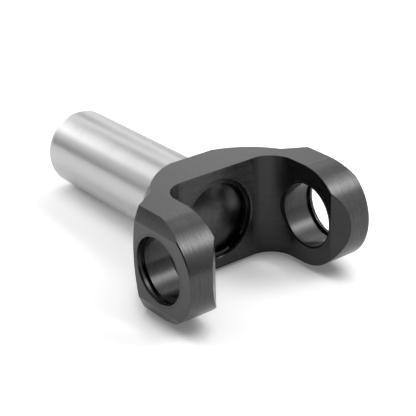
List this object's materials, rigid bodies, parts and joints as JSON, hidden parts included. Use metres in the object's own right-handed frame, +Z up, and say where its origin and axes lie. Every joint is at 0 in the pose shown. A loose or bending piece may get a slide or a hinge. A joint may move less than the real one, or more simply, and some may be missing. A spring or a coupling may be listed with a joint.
{
  "type": "slip yoke",
  "caption": "Slip yoke for a drive shaft: a bright ground barrel with internal splines, and a dark forked head whose ears hold the bearing cups of a universal joint.",
  "frame": {"origin": "where the barrel's axis meets the axis of the cross bores", "axes": "+X along the barrel's axis towards the ear tips, +Y along the cross bores, +Z up, square to the head's flats"},
  "size_m": [0.1606, 0.1, 0.049],
  "materials": {
    "yoke": "black oxide on the forked head, ground bright on the barrel",
    "sealing_plug": "dark phosphate, slightly glossy",
    "retaining_ring": "dark spring steel, satin"
  },
  "bodies": {
    "root": {"yoke": "yoke", "sealing_plug": "sealing_plug", "retaining_ring": "retaining_ring"}
  },
  "joints": []
}
